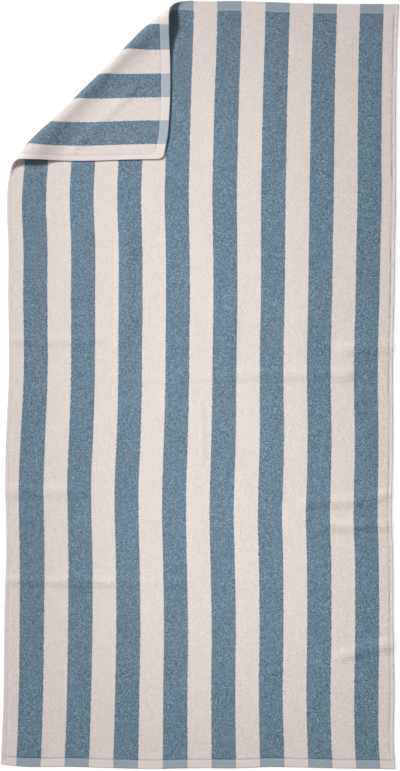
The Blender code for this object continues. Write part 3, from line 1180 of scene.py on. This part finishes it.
def loops_seen(lay, a, b, pitch):
    """Which loops show on the front and which on the back: none between the flap and the cloth."""
    x, y = lay.spread(a, b)
    past = lay.past_fold(x, y)
    # The point of the flap that comes to lie over each place, by turning over at the fold line.
    flap_x, flap_y = y - lay.fold.line, x + lay.fold.line
    covered = (flap_x > FLAP_RIM - lay.half_width) & (flap_y < lay.half_length - FLAP_RIM)
    by_end = np.abs(lay.along_fold(x, y)) > FOLD_ENDS
    front = (past < FRONT_PAST) & (~covered | by_end)
    back = (past > -BACK_BEFORE) & (lay.inside_hem(a, b, BACK) > LOOP_ROOM * pitch)
    return front, back


def loop_shades(a, b, is_dark, seed):
    """Number of the shade of its yarn that each loop has: a third of the loops for each shade."""
    specks = np.random.default_rng(seed).random(len(a))
    streaks = STREAK_SHARE * patches(a, b, YARN_STREAKS) + SPECK_SHARE * specks
    yarn = YARN_SHARE * np.where(is_dark, specks, streaks)
    mottle = yarn + AREA_SHARE * patches(a, b, SHADED_AREAS)
    mottle = 0.5 + (mottle - 0.5) * (CALMEST + LIVELIER * patches(a, b, LIVELY_AREAS))
    shade = np.zeros(len(a), dtype=int)
    for alike in (is_dark, ~is_dark):
        thirds = np.quantile(mottle[alike], (1 / 3, 2 / 3))
        shade[alike] = np.digitize(mottle[alike], thirds)
    return shade


def pile_roots(lay, a, b, shade, seen):
    """The feet of loops as a mesh of loose points, for the front's and the back's seen loops."""
    faces = []
    for side, shown in zip((FRONT, BACK), seen):
        points, outward = lay.place(a[shown], b[shown], side)
        faces.append((points, outward, shade[shown]))
    points, outward, shade = (np.concatenate(values) for values in zip(*faces))
    roots = bpy.data.meshes.new("roots")
    roots.from_pydata(points.tolist(), [], [])
    point_attribute(roots, OUTWARD, "FLOAT_VECTOR", outward)
    point_attribute(roots, SHADE, "INT", shade)
    return roots


def stitch_rows(lay):
    """The hems' rows of stitches on the open cloth: one turns the folded corner, two are straight."""
    cloth, inset = lay.cloth, lay.stitches.inset
    left = cloth.left_hem - inset - lay.half_width
    right = lay.half_width - cloth.right_hem + inset
    bottom = cloth.bottom_hem - inset - lay.half_length
    top = lay.half_length - cloth.top_hem + inset
    radius = cloth.seam_radius + inset
    end_a = lay.half_width - cloth.edge_round
    end_b = lay.half_length - cloth.edge_round
    corners = [(end_a, top), (left + radius, top)]
    for degrees in range(95, 180, 5):
        angle = math.radians(degrees)
        corners.append((left + radius + radius * math.cos(angle),
                        top - radius + radius * math.sin(angle)))
    corners += [(left, top - radius), (left, -end_b)]
    rows = [corners, [(right, end_b), (right, -end_b)], [(-end_a, bottom), (end_a, bottom)]]
    step = 0.002
    for row in rows:
        row = np.array(row)
        run = np.concatenate(([0.0], np.cumsum(np.hypot(*np.diff(row, axis=0).T))))
        steps = np.linspace(0.0, run[-1], math.ceil(run[-1] / step))
        yield np.interp(steps, run, row[:, 0]), np.interp(steps, run, row[:, 1])


def stitch_lines(lay):
    """The rows of stitches as lines on the front and the back, where the hems are bare."""
    points, outward, edges = [], [], []
    for a, b in stitch_rows(lay):
        for side in (FRONT, BACK):
            places, ways = lay.place(a, b, side)
            first = sum(len(p) for p in points)
            bare = lay.inside_hem(a, b, side) < 0.0
            edges += [(first + k, first + k + 1) for k in np.flatnonzero(bare[:-1] & bare[1:])]
            points.append(places)
            outward.append(ways)
    lines = bpy.data.meshes.new("stitch_lines")
    lines.from_pydata(np.concatenate(points).tolist(), edges, [])
    point_attribute(lines, OUTWARD, "FLOAT_VECTOR", np.concatenate(outward))
    return lines


# Stage.


def make_floor(look):
    """A wide pale floor just under the towel, which also shines a little."""
    reach = 60.0
    gap = 0.0002
    mesh = bpy.data.meshes.new("floor")
    mesh.from_pydata([(-reach, -reach, 0), (reach, -reach, 0), (reach, reach, 0),
                      (-reach, reach, 0)], [], [(0, 1, 2, 3)])
    shader = Shader("pale_floor")
    shader.surface.inputs["Base Color"].default_value = full_colour(look.floor)
    shader.surface.inputs["Sheen Weight"].default_value = 0.0
    shader.surface.inputs["Emission Color"].default_value = WHITE
    shader.surface.inputs["Emission Strength"].default_value = look.glow
    mesh.materials.append(shader.material)
    floor = add_object("floor", mesh)
    low = SOLID_BOX[0]
    floor.location.z = low.z - gap


def light_towel(look):
    """Light from a window on the upper left, and a soft strip that hangs over the towel."""
    sun = bpy.data.lights.new("window_light", "SUN")
    sun.energy = look.sun
    sun.angle = math.radians(12)
    window = add_object("window_light", sun)
    slant = Vector((0.80, -0.45, -0.78))
    window.rotation_euler = slant.to_track_quat("-Z", "Y").to_euler()

    strip = bpy.data.lights.new("strip_light", "AREA")
    strip.energy = look.strip
    strip.shape = "RECTANGLE"
    strip.size = 0.54
    strip.size_y = 1.25
    overhead = add_object("strip_light", strip)
    overhead.location = (-0.03, 0.04, 0.30)
    overhead.rotation_euler.z = math.radians(7)
    overhead.visible_camera = False


def light_room(scene, look):
    """Faint white light from all round."""
    world = bpy.data.worlds.new("room")
    world.use_nodes = True
    backdrop = world.node_tree.nodes["Background"]
    backdrop.inputs["Color"].default_value = WHITE
    backdrop.inputs["Strength"].default_value = look.sky
    scene.world = world
    scene.view_settings.view_transform = "Standard"


def aim_camera(scene, look):
    """A camera straight above that sees a little more than the towel's length."""
    high = SOLID_BOX[1]
    seen = scene.bath_towel_cloth.length * look.margin
    lens = bpy.data.cameras.new("camera")
    lens.lens = lens.sensor_width * (look.camera_distance - high.z / 2) / seen
    lens.clip_end = 3 * look.camera_distance
    camera = add_object("camera", lens)
    camera.location = (0.0, 0.0, look.camera_distance)
    scene.camera = camera


# Operators and panel.


class BATHTOWEL_OT_cloth(bpy.types.Operator):
    """Make the cloth with its hems, creases and folded corner"""

    bl_idname = "bath_towel.cloth"
    bl_label = "Make Cloth"

    def execute(self, context):
        scene = context.scene
        drop_object("cloth")
        piece = add_object("cloth", cloth_mesh(Lay(scene)))
        piece.data.materials.append(cloth_material(scene))
        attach(piece, TOWEL_BODY)
        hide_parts(TOWEL_NODE)
        return {"FINISHED"}


class BATHTOWEL_OT_pile(bpy.types.Operator):
    """Plant the loops of the terry pile, in dark and in light yarn"""

    bl_idname = "bath_towel.pile"
    bl_label = "Make Pile"

    def execute(self, context):
        scene = context.scene
        lay = Lay(scene)
        sizes, stripes = scene.bath_towel_pile, scene.bath_towel_stripes
        tree = pile_tree()
        yarns = {"dark": pile_yarn("dark_yarn", stripes.dark, stripes.dark_contrast),
                 "light": pile_yarn("light_yarn", stripes.light, stripes.light_contrast)}
        heights = {"dark": sizes.height, "light": sizes.light_height}
        leans = {"dark": sizes.lean, "light": sizes.light_lean}
        a, b = loop_rows(lay, sizes.pitch, sizes.seed)
        is_dark = stripe_number(scene, a) >= 0
        shade = loop_shades(a, b, is_dark, sizes.seed)
        seen = loops_seen(lay, a, b, sizes.pitch)
        for half in ("left", "right"):
            in_half = a < 0.0 if half == "left" else a >= 0.0
            for yarn in ("dark", "light"):
                chosen = in_half & (is_dark == (yarn == "dark"))
                roots = pile_roots(lay, a, b, shade, [chosen & shown for shown in seen])
                values = {"Loop Height": heights[yarn], "Loop Radius": sizes.width / 2,
                          "Lean": leans[yarn], "Seed": sizes.seed}
                values.update({f"Yarn {k + 1}": yarns[yarn][k] for k in range(SHADES)})
                piece = tree.bake(f"pile_{yarn}_{half}", roots, values)
                piece.data.shade_smooth()
                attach(piece, TOWEL_BODY)
        return {"FINISHED"}


class BATHTOWEL_OT_stitches(bpy.types.Operator):
    """Sew the rows of stitches along the end hems and the side hems"""

    bl_idname = "bath_towel.stitches"
    bl_label = "Make Stitches"

    def execute(self, context):
        scene = context.scene
        lay = Lay(scene)
        sizes = scene.bath_towel_stitches
        thread = yarn_material("hem_thread", sizes.thread)
        values = {"Pitch": sizes.pitch, "Thread": thread,
                  "Stitch Size": (sizes.length, sizes.width, sizes.width * STITCH_FLATNESS)}
        piece = stitch_tree().bake("hem_stitches", stitch_lines(lay), values)
        piece.data.shade_smooth()
        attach(piece, TOWEL_BODY)
        return {"FINISHED"}


class BATHTOWEL_OT_stage(bpy.types.Operator):
    """Set up the pale floor, the soft lights and the camera straight above"""

    bl_idname = "bath_towel.stage"
    bl_label = "Make Stage"

    def execute(self, context):
        scene = context.scene
        look = scene.bath_towel_stage
        for name in ("floor", "window_light", "strip_light", "camera"):
            drop_object(name)
        make_floor(look)
        light_towel(look)
        light_room(scene, look)
        aim_camera(scene, look)
        return {"FINISHED"}


OPERATORS = (BATHTOWEL_OT_stage, BATHTOWEL_OT_cloth, BATHTOWEL_OT_pile, BATHTOWEL_OT_stitches)


class BATHTOWEL_PT_panel(bpy.types.Panel):
    """The towel's sizes and the buttons that make its pieces"""

    bl_label = "Bath Towel"
    bl_idname = "BATHTOWEL_PT_panel"
    bl_space_type = "VIEW_3D"
    bl_region_type = "UI"
    bl_category = "Bath Towel"

    def draw(self, context):
        for name, group in GROUPS.items():
            box = self.layout.box()
            box.label(text=group.__doc__)
            for key in group.__annotations__:
                box.prop(getattr(context.scene, name), key)
        for operator in OPERATORS:
            self.layout.operator(operator.bl_idname)


CLASSES = (*GROUPS.values(), *OPERATORS, BATHTOWEL_PT_panel)


def register():
    """Adds the towel's settings, buttons and panel."""
    for cls in CLASSES:
        bpy.utils.register_class(cls)
    for name, group in GROUPS.items():
        setattr(bpy.types.Scene, name, PointerProperty(type=group))


def unregister():
    """Takes them away again."""
    for name in GROUPS:
        delattr(bpy.types.Scene, name)
    for cls in reversed(CLASSES):
        bpy.utils.unregister_class(cls)


def main():
    """Makes the stage and the towel's pieces."""
    register()
    bpy.ops.bath_towel.stage()
    bpy.ops.bath_towel.cloth()
    bpy.ops.bath_towel.pile()
    bpy.ops.bath_towel.stitches()
    on_it = [o for o in bpy.data.objects if o.name.startswith("pile_") or "stitches" in o.name]


if __name__ == "__main__":
    main()
